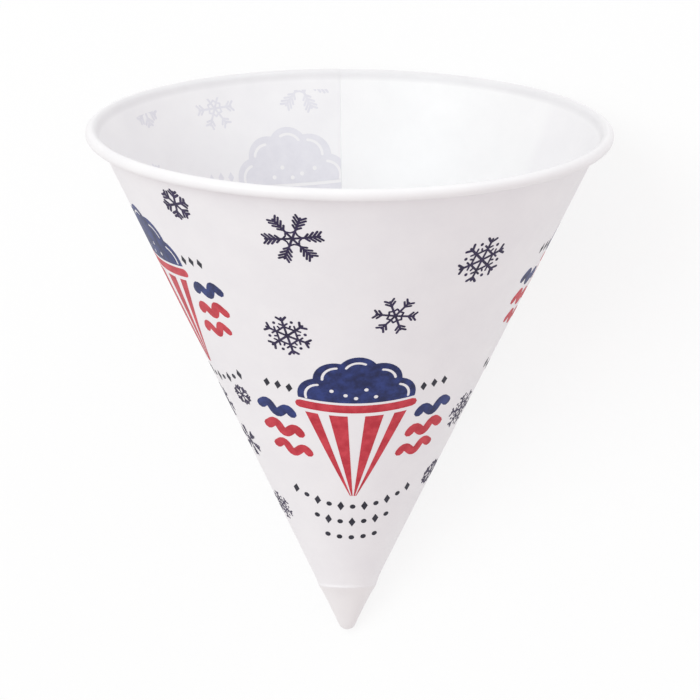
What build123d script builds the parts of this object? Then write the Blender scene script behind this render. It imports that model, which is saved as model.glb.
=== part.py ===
from build123d import *
import os
from math import atan2, cos, hypot, radians, sin, tan

os.makedirs("parts", exist_ok=True)

# A cone paper cup, wound from one sheet of waxed paper: the sheet laps over itself at a
# glued seam, its top edge is curled outward into a rolled rim, and its tip is pressed
# shut. The cup lies on its side, on its rim and the crease above its tip, with the
# double seam lowest.

# Driving sizes, in millimetres and degrees
rim_diameter = 90.0
half_angle = 25.3
paper_thickness = 0.25
seam_layers = 2
seam_angle = 57.0
tip_radius = 1.6

# The rolled rim: an oval, measured square to the wall and along it
roll_width = 2.1
roll_depth = 2.1
roll_turn = 290.0
hollow_sides = 4

# The sharp crease where the pressing of the tip ends
crease_height = 7.3
crease_width = 1.6
crease_rise = 0.25

# The sheet drifts outward by one layer in a turn. It does so in three equal steps, where
# the axis of its curve moves, and these angles from the seam's middle are where.
drift_angles = (60.0, 180.0, 300.0)

# Directions and sizes that follow, in a plane through the axis: x outward, y to the mouth
wall_outward = Vector(cos(radians(half_angle)), -sin(radians(half_angle)))
slope = tan(radians(half_angle))
layer_step = paper_thickness / cos(radians(half_angle))
drift = layer_step / len(drift_angles)
seam_thickness = seam_layers * paper_thickness

# The apex of the outer face over the seam, with the tip's lowest point at height zero,
# and the height where the pressed tip gives way to the wound wall
apex_height = tip_radius - tip_radius / sin(radians(half_angle))
pressed_height = crease_height + crease_width / 2 * cos(radians(half_angle))


def wall_point(height, layers):
    """Point of the wall's face that has this many layers of the seam inside it."""
    return Vector((height - apex_height) * slope - (seam_layers - layers) * layer_step, height)


# The brim, where the inner face of the wall runs into the roll, and the roll's centre
roll_reach = hypot(roll_width / 2 * wall_outward.X, roll_depth / 2 * wall_outward.Y)
brim_radius = rim_diameter / 2 - roll_reach - roll_width / 2 * wall_outward.X
brim_height = apex_height + (brim_radius + seam_layers * layer_step) / slope
roll_centre = Vector(brim_radius, brim_height) + wall_outward * roll_width / 2

# The cup's axis leans by the angle at which the roll and the crease both touch the ground
crease_peak = wall_point(crease_height, seam_layers) + wall_outward * crease_rise
ground_line = roll_centre + wall_outward * roll_width / 2 - crease_peak
lean = atan2(ground_line.X, ground_line.Y)
axis_direction = Vector(0, cos(lean), sin(lean))
down_direction = Vector(0, sin(lean), -cos(lean))

# The tip's lowest point stands this far off the ground and this far from the middle of
# the cup's length as it lies
tip_lift = crease_peak.X * cos(lean) - crease_peak.Y * sin(lean)
near_end = tip_radius * (cos(lean) - 1)
far_end = roll_centre.Y * cos(lean) + roll_centre.X * sin(lean) + roll_width / 2
cup_plane = Plane(
    origin=Vector(0, -(near_end + far_end) / 2, tip_lift),
    x_dir=down_direction,
    z_dir=axis_direction,
)


def outward(angle):
    """Direction away from the axis, at an angle from the seam's middle."""
    return cup_plane.x_dir * cos(radians(angle)) - cup_plane.y_dir * sin(radians(angle))


def half_plane(origin, angle):
    """Plane through the axis at this origin, with x outward and y towards the mouth."""
    return Plane(origin=origin, x_dir=outward(angle), z_dir=outward(angle).cross(axis_direction))


def sheet_section(shift, layers):
    """Cut through the wall and its curled edge, moved outward by a shift."""
    thickness = layers * paper_thickness
    moved = Vector(shift, 0)
    with BuildSketch() as section:
        with BuildLine():
            roll = EllipticalCenterArc(
                roll_centre + moved, roll_width / 2, roll_depth / 2,
                start_angle=180, arc_size=-roll_turn, rotation=-half_angle,
            )
            # The hollow in the roll never shows, so its sides are left straight
            hollow = []
            for side in range(hollow_sides + 1):
                turn = radians(180 - half_angle - roll_turn * side / hollow_sides)
                across = (roll_width / 2 - thickness) * cos(turn)
                along = (roll_depth / 2 - thickness) * sin(turn)
                hollow.append(roll_centre + moved + Vector(across, along))
            Line(roll @ 1, hollow[-1])
            inner_foot = wall_point(pressed_height, 0) + moved
            outer_foot = wall_point(pressed_height, layers) + moved
            Polyline(roll @ 0, inner_foot, outer_foot, *hollow)
        make_face()
    return section.sketch


def crease(layers):
    """Points up across the crease, in the wall's face that has so many layers inside it."""
    lower_height = 2 * crease_height - pressed_height
    peak = wall_point(crease_height, layers) + wall_outward * crease_rise
    return wall_point(lower_height, layers), peak, wall_point(pressed_height, layers)


with BuildPart() as cup:
    # The seam, where the sheet's two ends lie on each other
    with BuildSketch(half_plane(cup_plane.origin, -seam_angle / 2)):
        add(sheet_section(0, seam_layers))
    revolve(axis=Axis(cup_plane.origin, -axis_direction), revolution_arc=seam_angle)

    # One layer from the seam's outer edge round to its inner edge, a little further out
    # after each drift angle
    centre = cup_plane.origin
    shift = 0
    start = seam_angle / 2
    for end in (*drift_angles, 360 - seam_angle / 2):
        with BuildSketch(half_plane(centre, start)):
            add(sheet_section(shift, 1))
        revolve(axis=Axis(centre, -axis_direction), revolution_arc=end - start)
        centre = centre - outward(end) * drift
        shift = shift + drift
        start = end

    # The tip, pressed shut to the thickness of the seam, with a flat floor inside
    with BuildSketch(half_plane(cup_plane.origin, 0)):
        with BuildLine():
            tip = CenterArc((0, tip_radius), tip_radius, -90, 90 - half_angle)
            floor_centre = Vector(0, seam_thickness)
            floor_edge = wall_point(seam_thickness, 0)
            inner_face = crease(0)
            outer_face = crease(seam_layers)
            Polyline(tip @ 0, floor_centre, floor_edge, *inner_face, *reversed(outer_face), tip @ 1)
        make_face()
    revolve(axis=Axis(cup_plane.origin, axis_direction))

cup.part.label = "cup"
export_step(cup.part, "parts/cup.step")
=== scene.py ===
import bpy
from math import atan2, cos, degrees, hypot, pi, radians, sin, tan
from mathutils import Matrix, Vector
from mathutils.geometry import delaunay_2d_cdt


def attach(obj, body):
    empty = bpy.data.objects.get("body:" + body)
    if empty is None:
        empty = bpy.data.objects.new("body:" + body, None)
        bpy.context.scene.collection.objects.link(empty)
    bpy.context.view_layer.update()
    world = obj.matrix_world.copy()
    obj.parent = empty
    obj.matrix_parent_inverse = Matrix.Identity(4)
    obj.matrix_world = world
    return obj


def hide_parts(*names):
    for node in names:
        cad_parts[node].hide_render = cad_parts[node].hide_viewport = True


# The looks of a cone paper cup: the wound sheet with its rolled rim and pressed tip, and
# the ink printed on it. Sizes are written in millimetres and turned into metres where
# meshes are made. Angles round the cup are in degrees from the middle of the seam, where
# the sheet is doubled. The cup lies on its side, seam lowest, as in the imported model.

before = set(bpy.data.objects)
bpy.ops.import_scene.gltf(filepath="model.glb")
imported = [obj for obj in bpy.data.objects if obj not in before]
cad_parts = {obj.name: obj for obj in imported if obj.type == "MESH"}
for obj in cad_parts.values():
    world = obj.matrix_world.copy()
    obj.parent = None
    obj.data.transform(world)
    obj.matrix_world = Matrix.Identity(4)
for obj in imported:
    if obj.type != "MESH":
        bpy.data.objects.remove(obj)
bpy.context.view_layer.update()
MM = 0.001

# The cup's own sizes, the same as in the part's source
HALF = radians(25.3)
PAPER = 0.25
LAYERS = 2
SEAM = 57.0
TIP = 1.6
RIM = 90.0
ROLL = 2.1
CREASE_AT, CREASE_HIGH = 7.3, 0.25
DRIFTS = (60.0, 180.0, 300.0)

# Sizes that follow: the wall's slope, its outward direction and apex, the brim and the roll
SLOPE = tan(HALF)
NORMAL = (cos(HALF), -sin(HALF))
STEP = PAPER / cos(HALF)
DRIFT = STEP / len(DRIFTS)
APEX = TIP - TIP / sin(HALF)
BRIM_R = RIM / 2 - ROLL / 2 - ROLL / 2 * NORMAL[0]
BRIM_Z = APEX + (BRIM_R + LAYERS * STEP) / SLOPE
ROLL_R = BRIM_R + NORMAL[0] * ROLL / 2
ROLL_Z = BRIM_Z + NORMAL[1] * ROLL / 2

# The axis leans by the angle at which the roll and the model's crease both touch the ground
PEAK_R = (CREASE_AT - APEX) * SLOPE + NORMAL[0] * CREASE_HIGH
PEAK_Z = CREASE_AT + NORMAL[1] * CREASE_HIGH
LEAN = atan2(ROLL_R + NORMAL[0] * ROLL / 2 - PEAK_R, ROLL_Z + NORMAL[1] * ROLL / 2 - PEAK_Z)
NEAR = TIP * (cos(LEAN) - 1)
FAR = ROLL_Z * cos(LEAN) + ROLL_R * sin(LEAN) + ROLL / 2
AXIS = Vector((0, cos(LEAN), sin(LEAN)))
DOWN = Vector((0, sin(LEAN), -cos(LEAN)))
ORIGIN = Vector((0, -(NEAR + FAR) / 2, PEAK_R * cos(LEAN) - PEAK_Z * sin(LEAN)))

# The photograph looks at this side of the cup
FRONT = 154.0

# The roll's outside, a hair slimmer than the model's, so that its facets stay in the
# model's box, and how far the edge is curled round, single and doubled, until it nearly
# meets the wall again
ROLL_OUT = ROLL / 2 - 0.015
CURL = (309.0, 294.0)

# The wall's unevenness: its depth, and its waves as turns round the cup, phase, drift of
# the phase with height, and share. It sets in and fades out between these heights, and
# ends this far from the seam's middle.
UNEVEN = 0.16
UNEVEN_WAVES = ((2, 0.7, 0.035, 0.5), (3, -1.1, -0.055, 0.35), (5, 2.3, 0.09, 0.15))
UNEVEN_IN, UNEVEN_OUT, UNEVEN_SEAM = (10, 30), (70, 86), 40

# The crease stands this much higher than the model's at the cup's sides, and this much
# more in front. Behind, it comes down to the model's height, which it reaches where the
# cosine of the angle from the front is minus the third of these.
CREASE_SIDE, CREASE_FRONT, CREASE_DOWN = 1.0, 1.25, 0.88
# How far its slopes reach above and below it, and how sharp it is
CREASE_ABOVE, CREASE_BELOW, CREASE_POWER = 0.42, 1.7, 1.2
# Where it fades: by how much, the angle, and how far to each side
CREASE_FADES = ((0.9, 90, 76), (0.5, 240, 60))

# Flats that the press leaves in the tip: turns round it, phase, and depth. They set in
# between the first two heights, fade out between these distances from the crease, and end
# this far from the seam's middle.
FLATS = ((3, 0.8, 0.10), (5, 2.0, 0.06))
FLATS_IN, FLATS_OUT, FLATS_SEAM = (0.9, 2.6), (-1.8, -0.4), 30

# The heights of the section's points: up to the crease as shares of its height, about it
# as distances from it, then evenly up the outer wall, and a last one under the roll
TIP_STEPS, WALL_STEPS = 6, 31
CREASE_SHARES = (0.16, 0.26, 0.38, 0.5, 0.62, 0.72)
CREASE_STEPS = (-1.4, -1.0, -0.6, -0.3, -0.1, 0, 0.1, 0.2, 0.32, 0.46, 0.8)
WALL_FROM, WALL_TO, WALL_END = 1.6, 86.9, 88.2
# The tip is pressed as thick as the seam all round up to this far above the crease, and
# the wall is wound from this far on
PRESSED_FROM, PRESSED_TO = 0.2, 2.2
HOLLOW_STEPS, ROLL_STEPS = 12, 28
# A fine score inside the brim (height, depth), the inner wall, and the inside of the tip
SCORE = ((89.6, 0.0), (89.15, 0.07), (88.8, 0.0))
INNER_WALL = (
    88.3, 86, 82, 78, 74, 70, 66, 62, 58, 54, 50, 46, 42, 38, 34, 30, 26, 22, 18, 14, 11, 9,
)
INNER_TIP = (7.3, 5.5, 3.5, 1.8, 0.7)
INNER_END, FLOOR_HIGH = 0.06, 0.55
# Rows of the section, counted from the tip's outside: the sheet's cut edge and the brim,
# and a row above all that the press reaches
CUT_EDGE = TIP_STEPS + len(CREASE_SHARES) + len(CREASE_STEPS) + WALL_STEPS + HOLLOW_STEPS + 2
BRIM = CUT_EDGE + ROLL_STEPS
PRESS_ROWS = 40

# Steps round the seam and round the rest of the cup, the half width of the ramp at each
# cut edge of the sheet, in degrees, and a column where the sheet is single
SEAM_COLUMNS, SINGLE_COLUMNS, CUT_RAMP = 48, 252, 0.09
SAMPLE_COLUMN = 100
# Edges sharper than this are shaded as edges
SHARP = radians(38)


def outward(angle):
    """Direction away from the axis, at an angle in degrees from the seam's middle."""
    return DOWN * cos(radians(angle)) + Vector((sin(radians(angle)), 0, 0))


def place(radius, angle, height):
    """Point of the scene, in metres, from the cup's own coordinates in millimetres."""
    return (ORIGIN + outward(angle) * radius + AXIS * height) * MM


def drift(angle):
    """How far out the single layer stands at this angle, against the seam's inner layer."""
    reach = 0.0
    for step in DRIFTS:
        if angle > step:
            reach += DRIFT * (1 - cos(radians(angle - step)))
    return reach


def smooth(low, high, value):
    """Nothing up to low and one from high, with a soft passage between."""
    t = min(1.0, max(0.0, (value - low) / (high - low)))
    return t * t * (3 - 2 * t)


def ease(angle, centre, half_width):
    """One at this angle, falling to nothing half_width away from it."""
    away = abs((angle - centre + 180) % 360 - 180)
    return 1 - smooth(0, half_width, away)


def unevenness(angle, height):
    """Hand-wound paper is never quite a cone: small hollows, none of them at the rim."""
    a = radians(angle)
    wave = sum(sin(n * a + phase + height * rise) * part for n, phase, rise, part in UNEVEN_WAVES)
    keep = smooth(*UNEVEN_IN, height) * (1 - smooth(*UNEVEN_OUT, height))
    return -UNEVEN * (keep * (1 - ease(angle, 0, UNEVEN_SEAM))) * (wave + 1) / 2


def crease_middle(angle):
    """The crease runs straight across the side seen, so it is higher there than behind."""
    across = cos(radians(angle - FRONT))
    if across > 0:
        return CREASE_AT + CREASE_SIDE + CREASE_FRONT * across
    return CREASE_AT + CREASE_SIDE * max(0.0, 1 + across / CREASE_DOWN)


def crease_height(angle):
    """The pressed crease is sharp in front and at the seam, and fades out at the sides."""
    height = CREASE_HIGH
    for share, centre, half_width in CREASE_FADES:
        height *= 1 - share * ease(angle, centre, half_width)
    return height


def tip_squeeze(angle, height):
    """Soft flats that the press leaves in the tip below the crease."""
    a = radians(angle)
    flats = sum((1 - cos(n * a + phase)) / 2 * depth for n, phase, depth in FLATS)
    low, high = (crease_middle(angle) + step for step in FLATS_OUT)
    keep = smooth(*FLATS_IN, height) * (1 - smooth(low, high, height))
    return -flats * keep * (1 - ease(angle, 0, FLATS_SEAM))


def wall(height, layers, shift):
    """Radius of the face that has this many layers of the seam inside it."""
    return (height - APEX) * SLOPE - (LAYERS - layers) * STEP + shift


def outer_wall(angle, height, layers, shift):
    """Radius of the cup's outer face, with its crease and its unevenness."""
    radius = wall(height, layers, shift) + unevenness(angle, height)
    above = height - crease_middle(angle)
    lift = max(0.0, 1 - (above / CREASE_ABOVE if above > 0 else -above / CREASE_BELOW))
    radius += crease_height(angle) * lift ** CREASE_POWER / NORMAL[0]
    return radius + tip_squeeze(angle, height)


def roll_arc(shift, radius, curl, steps):
    """Points round the roll, from the brim to the cut edge."""
    points = []
    for step in range(steps + 1):
        turn = radians(180 - degrees(HALF) - curl * step / steps)
        points.append((ROLL_R + shift + radius * cos(turn), ROLL_Z + radius * sin(turn)))
    return points


def column(angle, layers):
    """The cup's section at this angle, as one line from the tip's outside to its inside."""
    shift = drift(angle) if layers == 1 else 0.0
    points = []
    # The rounded tip
    for step in range(1, TIP_STEPS):
        turn = radians(-90 + (90 - degrees(HALF)) * step / TIP_STEPS)
        points.append((TIP * cos(turn), TIP + TIP * sin(turn)))
    # The outer wall, where the tip is as thick as the seam all round
    middle = crease_middle(angle)
    heights = [middle * share for share in CREASE_SHARES]
    heights += [middle + step for step in CREASE_STEPS]
    for step in range(WALL_STEPS + 1):
        heights.append(middle + WALL_FROM + (WALL_TO - middle - WALL_FROM) * step / WALL_STEPS)
    for height in (*heights, WALL_END):
        pressed = 1 - smooth(middle + PRESSED_FROM, middle + PRESSED_TO, height)
        kind = layers + (LAYERS - layers) * pressed
        points.append((outer_wall(angle, height, kind, shift * (1 - pressed)), height))
    # Into the hollow of the roll and round it, then back over the roll's outside
    curl = CURL[layers - 1]
    points += roll_arc(shift, ROLL / 2 - layers * PAPER, curl, HOLLOW_STEPS)
    points += reversed(roll_arc(shift, ROLL_OUT, curl, ROLL_STEPS))
    # From the brim down the inside
    for height, scored in SCORE:
        points.append((wall(height, 0, shift) + scored, height))
    for height in INNER_WALL:
        points.append((wall(height, 0, shift) + unevenness(angle, height), height))
    for height in INNER_TIP:
        radius = max(INNER_END, wall(height, 0, 0) + tip_squeeze(angle, height))
        points.append((radius, height))
    return points


def cup_columns():
    """Angles round the cup, and the layers there, with a ramp at each cut edge."""
    first = CUT_RAMP - SEAM / 2
    turn = SEAM - 2 * CUT_RAMP
    columns = [(first + turn * k / SEAM_COLUMNS, LAYERS) for k in range(SEAM_COLUMNS + 1)]
    first = SEAM / 2 + CUT_RAMP
    turn = 360 - SEAM - 2 * CUT_RAMP
    columns += [(first + turn * k / SINGLE_COLUMNS, 1) for k in range(SINGLE_COLUMNS + 1)]
    return columns


def add_object(name, data):
    """A new object in the scene."""
    made = bpy.data.objects.new(name, data)
    bpy.context.scene.collection.objects.link(made)
    return made


def lay_out(mesh, rows, tip):
    """One square for the whole sheet: round the cup across, along the section upwards."""
    layer = mesh.uv_layers.new(name="OFBake")
    count, total = len(rows[0]), len(rows)
    section = rows[SAMPLE_COLUMN]
    lengths = [0.0]
    for one, two in zip(section, section[1:]):
        lengths.append(lengths[-1] + hypot(two[0] - one[0], two[1] - one[1]))
    for polygon in mesh.polygons:
        corners = list(polygon.vertices)
        ks = [v // count for v in corners if v < tip]
        wraps = max(ks) - min(ks) > 2
        for loop, v in zip(polygon.loop_indices, corners):
            if v >= tip:
                u = sum(total if wraps and k == 0 else k for k in ks) / len(ks) / total
                w = 0.0 if v == tip else 1.0
            else:
                k, j = divmod(v, count)
                u = (total if wraps and k == 0 else k) / total
                w = 0.01 + 0.98 * lengths[j] / lengths[-1]
            layer.data[loop].uv = (0.005 + 0.99 * u, 0.005 + 0.99 * w)


def tell_apart(mesh, columns, rows, tip):
    """Where the paper's tones differ: it lies in two layers at the seam and in the roll, with
    painted light that makes the single sheet's inner face a little lighter; it is darker and
    warmer below the crease; and painted shade greys the inside of the brim."""
    names = ("doubled_and_painted_light", "pressed", "painted_brim_shade")
    for name in names:
        mesh.attributes.new(name, "FLOAT", "POINT")
    doubled_and_painted_light, pressed, painted_brim_shade = (mesh.attributes[name].data for name in names)
    count = len(rows[0])
    for k, (angle, layers) in enumerate(columns):
        inside = 1.0
        # On its inner face the single sheet gets a quarter of the lighter tone: painted light,
        # standing in for light that comes through the paper
        if layers < LAYERS:
            inside = 0.25 + 0.65 * (1 - smooth(SEAM / 2, SEAM / 2 + 4, angle))
        for j in range(count):
            roll = 0.45 * smooth(CUT_EDGE + 2, CUT_EDGE + 8, j)
            roll *= 1 - smooth(BRIM - 7, BRIM - 4, j)
            doubled_and_painted_light[k * count + j].value = max(inside * smooth(BRIM - 5, BRIM + 1, j), roll)
            # The tip below the crease is given a darker, warmer tone
            if j < PRESS_ROWS:
                below = crease_middle(angle) - rows[k][j][1]
                pressed[k * count + j].value = smooth(-0.1, 0.4, below)
            # Painted shade: a greyer band all round the inside of the brim, where the roll turns
            # up and away from the lamps
            ring = smooth(BRIM - 6.3, BRIM - 4.0, j) * (1 - smooth(BRIM + 1, BRIM + 3.2, j))
            painted_brim_shade[k * count + j].value = ring
    pressed[tip].value = 1.0


def build_cup():
    """The cup's sheet as one closed mesh."""
    columns = cup_columns()
    rows = [column(angle, layers) for angle, layers in columns]
    count, total = len(rows[0]), len(rows)
    verts = []
    for (angle, _), row in zip(columns, rows):
        verts += [place(radius, angle, height) for radius, height in row]
    # The tip's lowest point and the middle of the floor inside it
    tip = len(verts)
    verts += [place(0, 0, 0.0), place(0, 0, FLOOR_HIGH)]
    faces = []
    for k in range(total):
        here, there = k * count, (k + 1) % total * count
        for j in range(count - 1):
            faces.append((here + j, there + j, there + j + 1, here + j + 1))
        faces.append((tip, there, here))
        faces.append((tip + 1, here + count - 1, there + count - 1))
    mesh = bpy.data.meshes.new("cup_paper")
    mesh.from_pydata(verts, [], faces)
    lay_out(mesh, rows, tip)
    tell_apart(mesh, columns, rows, tip)
    for polygon in mesh.polygons:
        polygon.use_smooth = True
    mesh.validate()
    mesh.set_sharp_from_angle(angle=SHARP)
    return add_object("cup_paper", mesh)


cup = build_cup()


def new_material(name):
    """A new material, with its node tree and its main shader."""
    material = bpy.data.materials.new(name)
    material.use_nodes = True
    return material, material.node_tree, material.node_tree.nodes["Principled BSDF"]


def mix_colour(tree, factor, one, two):
    """From one colour to the other, as this factor goes from nothing to one."""
    made = tree.nodes.new("ShaderNodeMix")
    made.data_type = "RGBA"
    tree.links.new(factor, made.inputs["Factor"])
    made.inputs["A"].default_value = (*one, 1)
    made.inputs["B"].default_value = (*two, 1)
    return made.outputs["Result"]


def laid_over(tree, attribute, below, above):
    """One colour where this attribute of the mesh is nothing, and another where it is one."""
    value = tree.nodes.new("ShaderNodeAttribute")
    value.attribute_name = attribute
    made = tree.nodes.new("ShaderNodeMix")
    made.data_type = "RGBA"
    tree.links.new(value.outputs["Fac"], made.inputs["Factor"])
    tree.links.new(below, made.inputs["A"])
    tree.links.new(above, made.inputs["B"])
    return made.outputs["Result"]


def noise(tree, scale, detail, rough):
    """Noise in the object's own coordinates."""
    where = tree.nodes.new("ShaderNodeTexCoord")
    made = tree.nodes.new("ShaderNodeTexNoise")
    made.inputs["Scale"].default_value = scale
    made.inputs["Detail"].default_value = detail
    made.inputs["Roughness"].default_value = rough
    tree.links.new(where.outputs["Object"], made.inputs["Vector"])
    return made.outputs["Fac"]


def spread(tree, value, low, high, to_low=0.0, to_high=1.0):
    """The value, taken from one range to another."""
    made = tree.nodes.new("ShaderNodeMapRange")
    tree.links.new(value, made.inputs["Value"])
    made.inputs["From Min"].default_value = low
    made.inputs["From Max"].default_value = high
    made.inputs["To Min"].default_value = to_low
    made.inputs["To Max"].default_value = to_high
    return made.outputs["Result"]


def bump(tree, height, strength, distance):
    """A bump of this strength and this height in metres."""
    made = tree.nodes.new("ShaderNodeBump")
    made.inputs["Strength"].default_value = strength
    made.inputs["Distance"].default_value = distance
    tree.links.new(height, made.inputs["Height"])
    return made


# The paper's tones, each as the two ends of its faint clouds
SINGLE = ((0.805, 0.790, 0.812), (0.840, 0.826, 0.842))
TONES = {
    # Two layers at the seam and in the roll; a quarter of this tone is also painted light on the
    # single sheet's inner face
    "doubled_and_painted_light": ((0.846, 0.840, 0.848), (0.870, 0.863, 0.869)),
    # Darker and warmer, below the crease
    "pressed": ((0.790, 0.768, 0.778), (0.822, 0.800, 0.806)),
    # Painted shade inside the brim
    "painted_brim_shade": ((0.750, 0.739, 0.756), (0.782, 0.771, 0.786)),
}


def paper_material():
    """Waxed paper: nearly white, faintly cloudy, with the grain of its fibres under the wax."""
    material, tree, shader = new_material("waxed_paper")
    cloud = spread(tree, noise(tree, 110, 5, 0.6), 0.32, 0.68)
    colour = mix_colour(tree, cloud, *SINGLE)
    # Over the single sheet's tone go, in turn: the two layers' tone with its painted light, the
    # tone below the crease, and the painted shade inside the brim
    for attribute, ends in TONES.items():
        colour = laid_over(tree, attribute, colour, mix_colour(tree, cloud, *ends))
    tree.links.new(colour, shader.inputs["Base Color"])
    wax = spread(tree, noise(tree, 420, 3, 0.5), 0.3, 0.7, 0.42, 0.56)
    tree.links.new(wax, shader.inputs["Roughness"])
    fibres = bump(tree, noise(tree, 2600, 6, 0.65), 0.35, 0.00003)
    swells = bump(tree, noise(tree, 240, 2, 0.5), 0.25, 0.00012)
    tree.links.new(fibres.outputs["Normal"], swells.inputs["Normal"])
    tree.links.new(swells.outputs["Normal"], shader.inputs["Normal"])
    shader.inputs["IOR"].default_value = 1.45
    shader.inputs["Coat Weight"].default_value = 0.12
    shader.inputs["Coat Roughness"].default_value = 0.35
    return material


cup.data.materials.append(paper_material())
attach(cup, "root")
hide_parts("cup")

# The printed sheet, laid flat: x to the right and y towards the mouth, in millimetres,
# with the cone's apex at zero and the side that the photograph shows straight up. The
# print's apex is this high on the cup, a direction on the flat sheet is this share of the
# angle round the cup, and the print ends this far out, under the roll.
PRINT_APEX = -1.75
WRAP = sin(HALF)
RIM_EDGE = 98.6
# Directions, clockwise from straight up, where the sheet starts and ends
SHEET_START = (FRONT - SEAM / 2) * WRAP
SHEET_END = (FRONT - SEAM / 2 - 360) * WRAP
# A layer of ink stands this far proud of the paper's face, and reaches this far into it
INK_UP, INK_DOWN = 0.03, 0.07
# The same for the print seen through the paper, where motifs nearer the apex are left out
THROUGH_UP, THROUGH_DOWN, THROUGH_FROM = 0.012, 0.05, 40


def bar(start, end, width):
    """A stroke with round ends."""
    turn = atan2(end[1] - start[1], end[0] - start[0])
    points = []
    for centre, base in ((end, turn - pi / 2), (start, turn + pi / 2)):
        for k in range(5):
            a = base + pi * k / 4
            points.append((centre[0] + width / 2 * cos(a), centre[1] + width / 2 * sin(a)))
    return points


def disc(centre, radius, count):
    """A round dot, as an outline of so many points."""
    points = []
    for k in range(count):
        a = 2 * pi * k / count
        points.append((centre[0] + radius * cos(a), centre[1] + radius * sin(a)))
    return points


def diamond(centre, wide, high):
    """A diamond that stands on a corner."""
    x, y = centre
    return [(x - wide / 2, y), (x, y - high / 2), (x + wide / 2, y), (x, y + high / 2)]


def line(points, width):
    """Strokes from point to point."""
    return [bar(one, two, width) for one, two in zip(points, points[1:])]


def spoke(angle, along, aside=0.0):
    """Point so far along a spoke, and so far to its left."""
    a = radians(angle)
    return (along * cos(a) - aside * sin(a), along * sin(a) + aside * cos(a))


def barbs(angle, along, length, lean, width):
    """A pair of strokes that leave an arm on both sides and lean towards its end."""
    pair = []
    for sign in (1, -1):
        reach, aside = length * cos(radians(lean)), sign * length * sin(radians(lean))
        pair.append(bar(spoke(angle, along), spoke(angle, along + reach, aside), width))
    return pair


def ring_part(a, size, low, high, width):
    """Two strokes from neighbouring arms that meet between them."""
    peak = spoke(a + 30, size * high)
    return [bar(spoke(a, size * low), peak, size * width),
            bar(spoke(a + 60, size * low), peak, size * width)]


def feathered(size):
    """A snowflake with feathered arms."""
    shapes = []
    for a in range(0, 360, 60):
        shapes.append(bar(spoke(a, 0), spoke(a, size * 0.94), size * 0.085))
        for along, length in ((0.42, 0.20), (0.56, 0.27), (0.70, 0.29), (0.84, 0.25)):
            shapes += barbs(a, size * along, size * length, 46, size * 0.08)
        shapes += ring_part(a, size, 0.34, 0.24, 0.06)
    return shapes


def wheeled(size):
    """A snowflake with a six-sided wheel, forked ends and dots between its arms."""
    shapes = []
    for a in range(0, 360, 60):
        shapes.append(bar(spoke(a, 0), spoke(a, size * 0.90), size * 0.10))
        shapes.append(bar(spoke(a, size * 0.46), spoke(a + 60, size * 0.46), size * 0.085))
        shapes += barbs(a, size * 0.50, size * 0.20, 60, size * 0.08)
        shapes += barbs(a, size * 0.76, size * 0.26, 50, size * 0.105)
        shapes.append(bar(spoke(a + 30, size * 0.40), spoke(a + 30, size * 0.54), size * 0.08))
        shapes.append(disc(spoke(a + 30, size * 0.76), size * 0.07, 8))
    return shapes


def petalled(size):
    """A snowflake with a ring of small petals and arrows at its ends."""
    shapes = []
    for a in range(0, 360, 60):
        shapes.append(bar(spoke(a, 0), spoke(a, size * 0.86), size * 0.10))
        shapes += barbs(a, size * 0.60, size * 0.28, 48, size * 0.10)
        shapes += barbs(a, size * 0.78, size * 0.28, 48, size * 0.10)
        shapes += ring_part(a, size, 0.28, 0.38, 0.085)
    return shapes


def arrowed(size):
    """A small snowflake with heavy arrow ends."""
    shapes = []
    for a in range(0, 360, 60):
        shapes.append(bar(spoke(a, 0), spoke(a, size * 0.84), size * 0.15))
        shapes += barbs(a, size * 0.48, size * 0.42, 50, size * 0.16)
        shapes += barbs(a, size * 0.74, size * 0.26, 50, size * 0.16)
    return shapes


# Snowflakes on the flat sheet: kind, x, y, size from middle to tip, and turn
FLAKES = (
    (arrowed, -31.5, 89.3, 3.2, 38), (feathered, -9.5, 90.5, 5.1, 14),
    (wheeled, 23.5, 81.2, 4.8, 3), (petalled, 7.8, 74.0, 3.9, -14),
    (wheeled, -10.5, 68.8, 4.3, -13), (arrowed, -20.3, 49.8, 2.1, 10),
    (petalled, -27.3, 41.7, 3.2, 20), (feathered, -20.6, 37.2, 3.0, 5),
    (wheeled, 23.4, 43.6, 3.8, 30), (arrowed, 17.4, 31.6, 2.6, 12),
    (wheeled, -13.6, 25.6, 2.9, 0), (arrowed, -78.1, 61.2, 3.3, 20),
    (petalled, -85.1, 45.9, 3.9, 62), (feathered, -94.5, 31.3, 5.0, 80),
    (wheeled, -64.6, 56.0, 4.6, 40), (petalled, -52.8, 45.9, 3.9, 15),
    (feathered, -43.3, 34.4, 4.2, 33), (arrowed, -31.4, 30.6, 2.4, 50),
    (wheeled, -36.5, 14.2, 3.0, 20), (petalled, -25.0, 13.5, 2.4, 70),
    (wheeled, -80.6, 1.4, 4.6, 10), (feathered, -90.5, 9.5, 4.2, 45),
    (arrowed, 33.0, 30.5, 2.4, 30),
)

# The big ornaments on it: how far out, in which direction, and the rows of beads below,
# each row as how many beads it has to either side of its middle one
EMBLEMS = (
    (56.5, 1.5, (5, 3, 2)), (81.0, -30.6, (5,)), (83.0, -69.6, (3,)),
    (81.0, 40.4, (5,)), (57.0, -91.5, (3,)),
)

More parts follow.
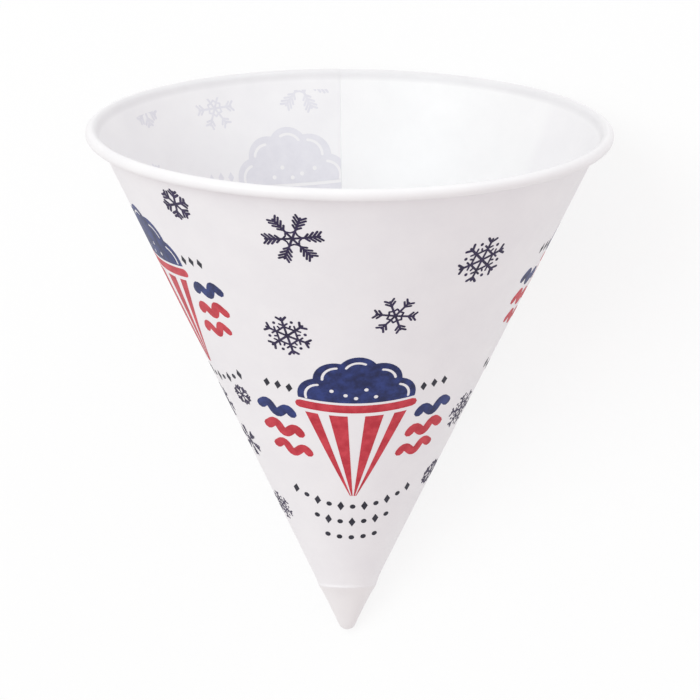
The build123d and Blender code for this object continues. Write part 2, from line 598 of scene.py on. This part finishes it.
# What an ornament is made of: circles of its mound (x, y, radius), arcs of light in the
# mound (x, y, radius, from, to) and dots of light (x, y), the top edges of its cone's
# stripes (from, to), and its waves (y, near end, far end, width)
MOUND = (
    (0, 0.8, 6.8), (-6.4, -0.2, 3.9), (6.4, -0.2, 3.9),
    (-3.8, 3.6, 3.9), (3.8, 3.6, 3.9), (0, 5.4, 3.6),
)
GLINTS = (
    (-6.4, -0.2, 2.5, 100, 200), (-3.5, 3.8, 2.6, 95, 185), (0, 5.3, 2.4, 60, 150),
    (4.0, 3.5, 2.5, 10, 85), (6.5, -0.2, 2.5, -15, 70),
)
DOTS = ((-2.0, 0.4), (1.5, 1.7), (-0.2, -0.2), (3.2, 0.0), (-4.4, 1.2))
BELOW_MOUND = [(-12, -1.3), (-12, -8), (12, -8), (12, -1.3)]
STRIPES = ((-8.8, -6.6), (-4.7, -1.5), (1.5, 4.7), (6.6, 8.8))
STRIPE_TOP, STRIPE_END, STRIPE_NARROW = -4.3, -22.5, 0.06
WAVES = ((-5.8, 11.2, 17.2, 1.8), (-9.9, 9.6, 15.8, 1.8), (-13.9, 7.9, 13.9, 1.6))
WAVE_HIGH, WAVE_PACE = 0.85, 1.65


def emblem(bead_rows):
    """A made-up ornament: a mound of ice in a striped cone, with waves and beads about it.
    For each colour: what covers it, what is cut out of that, and what covers it uncut."""
    mound = [disc((x, y), radius, 32) for x, y, radius in MOUND]
    light = [BELOW_MOUND]
    for x, y, radius, low, high in GLINTS:
        arc = []
        for k in range(8):
            a = radians(low + (high - low) * k / 7)
            arc.append((x + radius * cos(a), y + radius * sin(a)))
        light += line(arc, 0.48)
    light += [disc(spot, 0.4, 8) for spot in DOTS]
    stripes = [bar((-9.8, -2.7), (9.8, -2.7), 1.7)]
    for low, high in STRIPES:
        stripes.append([(low, STRIPE_TOP), (high, STRIPE_TOP),
                        (high * STRIPE_NARROW, STRIPE_END), (low * STRIPE_NARROW, STRIPE_END)])
    upper_waves, red_waves, beads = [], [], []
    for sign in (-1, 1):
        for row, (y, near, far, width) in enumerate(WAVES):
            points = []
            for k in range(19):
                x = near + (far - near) * k / 18
                points.append((sign * x, y + WAVE_HIGH * sin((x - near) * WAVE_PACE)))
            (upper_waves if row == 0 else red_waves).extend(line(points, width))
        for k in range(3):
            beads.append(diamond((sign * (11.8 + 2.1 * k), 0.2 - 0.12 * k * k), 1.25, 2.0))
    for row, reach in enumerate(bead_rows):
        for k in range(-reach, reach + 1):
            spot = (k * 2.05, -25.0 - 3.6 * row + 0.065 * k * k)
            pointed = (k + row) % 2 and row < 2
            beads.append(diamond(spot, 1.2, 2.1) if pointed else disc(spot, 0.5, 10))
    return {
        "navy": (mound, light, upper_waves),
        "red": (stripes + red_waves, [], []),
        "dark": (beads, [], []),
    }


def moved(shape, x, y, turn):
    """The outline, turned and then moved on the flat sheet."""
    c, s = cos(radians(turn)), sin(radians(turn))
    return [(x + (p * c - q * s), y + (p * s + q * c)) for p, q in shape]


# The longest side of an outline that follows the cone, how far out an outline needn't
# follow it and the longest side there, and the spacing of the points inside an outline,
# with a shift that keeps them off its own points
LONGEST, FAR_OUT, LONGEST_FAR = 0.9, 130, 5
PITCH, SHIFT = 1.0, (0.013, 0.017)


def divided(shape, longest=LONGEST):
    """The outline with its long sides divided, so that it can follow the cone."""
    points = []
    for (x, y), (to_x, to_y) in zip(shape, shape[1:] + shape[:1]):
        parts = max(1, int(hypot(to_x - x, to_y - y) / longest + 0.999))
        for k in range(parts):
            points.append((x + (to_x - x) * k / parts, y + (to_y - y) * k / parts))
    return points


def leftward(shape):
    """The same outline, run the way that keeps its inside on the left."""
    area = sum(p[0] * q[1] - q[0] * p[1] for p, q in zip(shape, shape[1:] + shape[:1]))
    return shape if area > 0 else shape[::-1]


def inked(adds, cuts):
    """Triangles, laid flat, of what adds cover and cuts don't."""
    if not adds:
        return [], []
    shapes = [leftward(divided(shape)) for shape in adds]
    verts = [point for shape in shapes for point in shape]
    low, high = ([edge(v[i] for v in verts) for i in (0, 1)] for edge in (min, max))
    for shape in cuts:
        near = hypot(*shape[0]) < FAR_OUT and hypot(*shape[2]) < FAR_OUT
        shapes.append(leftward(divided(shape, LONGEST if near else LONGEST_FAR)))
    verts, loops = [], []
    for shape in shapes:
        loops.append(list(range(len(verts), len(verts) + len(shape))))
        verts += shape
    for i in range(int((high[0] - low[0]) / PITCH) + 1):
        for j in range(int((high[1] - low[1]) / PITCH) + 1):
            x = low[0] + PITCH * (i + 0.5 * (j % 2)) + SHIFT[0]
            verts.append((x, low[1] + PITCH * j + SHIFT[1]))
    flat = [Vector(v) for v in verts]
    points, _, faces, _, _, origins = delaunay_2d_cdt(flat, [], loops, 1, 1e-5, True)
    kept = []
    for face, origin in zip(faces, origins):
        if any(o < len(adds) for o in origin) and not any(o >= len(adds) for o in origin):
            kept.append(face)
    return [tuple(p) for p in points], kept


def on_cup(x, y):
    """Angle and height on the cup of a point of the flat sheet."""
    return FRONT - degrees(atan2(x, y)) / WRAP, PRINT_APEX + hypot(x, y) * cos(HALF)


def outer_point(x, y, proud):
    """Where a point of the flat sheet's outer face lies on the cup."""
    angle, height = on_cup(x, y)
    if angle <= 360 - SEAM / 2:
        radius = outer_wall(angle, height, 1, drift(angle))
    else:
        radius = outer_wall(angle, height, LAYERS, 0.0)
    return place(radius + proud * NORMAL[0], angle, height + proud * NORMAL[1])


def inner_point(x, y, proud):
    """The same for the inner face, where the print shows through one layer."""
    angle, height = on_cup(x, y)
    radius = wall(height, 0, drift(angle)) + unevenness(angle, height)
    return place(radius - proud * NORMAL[0], angle, height - proud * NORMAL[1])


# The flat sheet's span in the square that the print is laid out in
PRINT_SPAN = 230


def printed(name, flat, where, up, down, material):
    """One closed thin layer of ink from flat triangles."""
    verts, faces, flat_of = [], [], []
    for points, triangles in flat:
        used = sorted({v for t in triangles for v in t})
        index = {v: k for k, v in enumerate(used)}
        base, count = len(verts), len(used)
        for proud in (up, -down):
            for v in used:
                verts.append(where(*points[v], proud))
                flat_of.append(points[v])
        edges = {}
        for triangle in triangles:
            a, b, c = (index[v] for v in triangle)
            p, q, r = (Vector(points[v]) for v in triangle)
            if (q - p).cross(r - p) < 0:
                b, c = c, b
            faces.append((base + a, base + b, base + c))
            faces.append((base + count + c, base + count + b, base + count + a))
            for edge in ((a, b), (b, c), (c, a)):
                edges[edge] = True
        for a, b in edges:
            if (b, a) not in edges:
                faces.append((base + b, base + a, base + count + a, base + count + b))
    mesh = bpy.data.meshes.new(name)
    mesh.from_pydata(verts, [], faces)
    layer = mesh.uv_layers.new(name="OFBake")
    for loop in mesh.loops:
        x, y = flat_of[loop.vertex_index]
        layer.data[loop.index].uv = (0.5 + x / PRINT_SPAN, 0.5 + y / PRINT_SPAN)
    mesh.validate()
    mesh.materials.append(material)
    piece = add_object(name, mesh)
    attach(piece, "root")


def ink_material(name, dark, light, rough):
    """Printed ink: two close tones in soft blotches, a little uneven like flexographic print."""
    material, tree, shader = new_material(name)
    blotch = spread(tree, noise(tree, 520, 4, 0.6), 0.38, 0.64)
    tree.links.new(mix_colour(tree, blotch, dark, light), shader.inputs["Base Color"])
    shader.inputs["Roughness"].default_value = rough
    shader.inputs["Specular IOR Level"].default_value = 0.35
    shader.inputs["IOR"].default_value = 1.45
    grain = bump(tree, noise(tree, 2600, 5, 0.6), 0.3, 0.00002)
    tree.links.new(grain.outputs["Normal"], shader.inputs["Normal"])
    return material


# How far what lies off the sheet reaches: out from the apex, round, and past the print's
# end, and how near to it a motif must be to be cut
OFF_SHEET, OFF_ROUND, OFF_RIM = 200, 60, 140
NEAR_ROUND, NEAR_RIM = 40, 20


def arc_points(radius, start, step, count):
    """Points on a circle round the apex, at directions in degrees from straight up."""
    angles = [radians(start + step * k) for k in range(count)]
    return [(radius * sin(a), radius * cos(a)) for a in angles]


def wedge(start, end):
    """The part of the flat plane between two directions."""
    points = [(0.0, 0.0)]
    for k in range(13):
        a = radians(start + (end - start) * k / 12)
        points.append((OFF_SHEET * sin(a), OFF_SHEET * cos(a)))
    return points


def sheet_limits(x, y):
    """What lies off the printed sheet near a motif: past its two ends, and on the roll."""
    middle = degrees(atan2(x, y))
    limits = []
    if middle > SHEET_START - NEAR_ROUND:
        limits.append(wedge(SHEET_START, SHEET_START + OFF_ROUND))
    if middle < SHEET_END + NEAR_ROUND:
        limits.append(wedge(SHEET_END - OFF_ROUND, SHEET_END))
    if hypot(x, y) > RIM_EDGE - NEAR_RIM:
        edge = arc_points(RIM_EDGE, middle - 24, 2, 25)
        limits.append(edge + arc_points(OFF_RIM, middle - 24, 2, 25)[::-1])
    return limits


def layouts():
    """Every motif on the sheet: its colour, what covers it, what is cut out, and its middle."""
    placed = []
    for kind, x, y, size, turn in FLAKES:
        shapes = [moved(shape, x, y, turn) for shape in kind(size)]
        placed.append(("flake", shapes, sheet_limits(x, y), (x, y)))
    for reach, direction, bead_rows in EMBLEMS:
        there = (reach * sin(radians(direction)), reach * cos(radians(direction)))
        limits = sheet_limits(*there)
        for colour, groups in emblem(bead_rows).items():
            adds, cuts, more = ([moved(s, *there, -direction) for s in group] for group in groups)
            placed.append((colour, adds, cuts + limits, there))
            if more:
                placed.append((colour, more, limits, there))
    return placed


# Each ink: its piece's name, the two tones of its blotches, and its roughness
INKS = {
    "flake": ("ink_snow", (0.016, 0.010, 0.042), (0.036, 0.024, 0.078), 0.5),
    "navy": ("ink_navy", (0.009, 0.014, 0.075), (0.024, 0.042, 0.190), 0.45),
    "red": ("ink_red", (0.46, 0.022, 0.040), (0.60, 0.050, 0.072), 0.48),
    "dark": ("ink_dark", (0.012, 0.012, 0.022), (0.030, 0.030, 0.046), 0.5),
}
THROUGH = ("ink_seen_through", (0.715, 0.705, 0.755), (0.745, 0.735, 0.780), 0.5)

layers_of = {colour: [] for colour in INKS}
seen_through = []
for colour, adds, cuts, there in layouts():
    flat = inked(adds, cuts)
    layers_of[colour].append(flat)
    if hypot(*there) > THROUGH_FROM:
        seen_through.append(flat)
for colour, ink in INKS.items():
    printed(ink[0], layers_of[colour], outer_point, INK_UP, INK_DOWN, ink_material(*ink))
printed(THROUGH[0], seen_through, inner_point, THROUGH_UP, THROUGH_DOWN, ink_material(*THROUGH))

# The camera, at the photograph's viewing angle: its angles over the cup and round its own
# line of sight, its focal length in pixels of a picture this wide, and its aim
ELEVATION, ROLL_ANGLE = radians(15.86), radians(0.383)
FOCUS, PICTURE, SENSOR = 5209.6, 700, 36
AIM_RIGHT, AIM_UP, DISTANCE = 0.192, 50.852, 900.0
right = outward(FRONT - 90)
towards = outward(FRONT) * cos(ELEVATION) + AXIS * sin(ELEVATION)
up = towards.cross(right)
aim = ORIGIN + right * AIM_RIGHT + AXIS * AIM_UP
turned = right * cos(ROLL_ANGLE) + up * sin(ROLL_ANGLE)
upward = up * cos(ROLL_ANGLE) - right * sin(ROLL_ANGLE)
spot = (aim + towards * DISTANCE) * MM
camera_data = bpy.data.cameras.new("camera")
camera_data.sensor_width = SENSOR
camera_data.lens = FOCUS / PICTURE * SENSOR
camera_data.clip_start = 0.05
camera_data.clip_end = 20
camera = add_object("camera", camera_data)
camera.matrix_world = Matrix((
    (turned.x, upward.x, towards.x, spot.x),
    (turned.y, upward.y, towards.y, spot.y),
    (turned.z, upward.z, towards.z, spot.z),
    (0, 0, 0, 1),
))
bpy.context.scene.camera = camera

# Both lamps stand this far from the camera's aim and are this wide, in metres
LAMP_AWAY, LAMP_SIZE = 0.9, 0.6


def lamp(name, direction, power, colour):
    """A round soft lamp that stands in this direction from the camera's aim."""
    data = bpy.data.lights.new(name, "AREA")
    data.shape = "DISK"
    data.size = LAMP_SIZE
    data.energy = power
    data.color = colour
    made = add_object(name, data)
    made.location = aim * MM + direction.normalized() * LAMP_AWAY
    made.rotation_euler = (-direction).to_track_quat("-Z", "Y").to_euler()


lamp("key", towards * 0.85 - right * 0.62 + up * 0.36, 2.88, (0.86, 1.0, 0.97))
lamp("top", up * 0.85 + right * 0.55 + towards * 0.15, 1.66, (0.85, 0.99, 1.0))


def seen_rays(tree):
    """A value of one for the rays that show a background: the camera's and reflections'."""
    path = tree.nodes.new("ShaderNodeLightPath")
    seen = tree.nodes.new("ShaderNodeMath")
    seen.operation = "MAXIMUM"
    tree.links.new(path.outputs["Is Camera Ray"], seen.inputs[0])
    tree.links.new(path.outputs["Is Glossy Ray"], seen.inputs[1])
    return seen.outputs[0]


def mix_shaders(tree, factor, one, two, surface):
    """One shader, and the other for what this factor says, as the surface."""
    both = tree.nodes.new("ShaderNodeMixShader")
    tree.links.new(factor, both.inputs["Fac"])
    tree.links.new(one.outputs[0], both.inputs[1])
    tree.links.new(two.outputs[0], both.inputs[2])
    tree.links.new(both.outputs[0], surface)


def light_world():
    """A warm even light all round, which shows as white."""
    world = bpy.data.worlds.new("world")
    bpy.context.scene.world = world
    world.use_nodes = True
    tree = world.node_tree
    even = tree.nodes["Background"]
    even.inputs["Color"].default_value = (1.0, 0.937, 0.941, 1)
    even.inputs["Strength"].default_value = 0.861
    white = tree.nodes.new("ShaderNodeBackground")
    white.inputs["Color"].default_value = (1, 1, 1, 1)
    white.inputs["Strength"].default_value = 1.0
    mix_shaders(tree, seen_rays(tree), even, white, tree.nodes["World Output"].inputs["Surface"])


light_world()

# The floor reaches this far in metres. So much of what it shows is its own white, and the
# rest keeps the cup's shadow.
FLOOR_REACH, FLOOR_WHITE = 6.0, 0.84


def floor_piece():
    """A white floor that keeps the cup's soft shadow."""
    mesh = bpy.data.meshes.new("floor")
    reach = FLOOR_REACH
    corners = [(-reach, -reach, 0), (reach, -reach, 0), (reach, reach, 0), (-reach, reach, 0)]
    mesh.from_pydata(corners, [], [(0, 1, 2, 3)])
    made = add_object("floor", mesh)
    material, tree, shader = new_material("floor")
    shader.inputs["Base Color"].default_value = (0.86, 0.86, 0.86, 1)
    shader.inputs["Roughness"].default_value = 0.9
    shader.inputs["Specular IOR Level"].default_value = 0.0
    light = tree.nodes.new("ShaderNodeEmission")
    light.inputs["Color"].default_value = (1, 1, 1, 1)
    light.inputs["Strength"].default_value = 1.0
    share = tree.nodes.new("ShaderNodeMath")
    share.operation = "MULTIPLY"
    tree.links.new(seen_rays(tree), share.inputs[0])
    share.inputs[1].default_value = FLOOR_WHITE
    surface = tree.nodes["Material Output"].inputs["Surface"]
    mix_shaders(tree, share.outputs[0], shader, light, surface)
    mesh.materials.append(material)


floor_piece()
bpy.context.scene.view_settings.view_transform = "Standard"
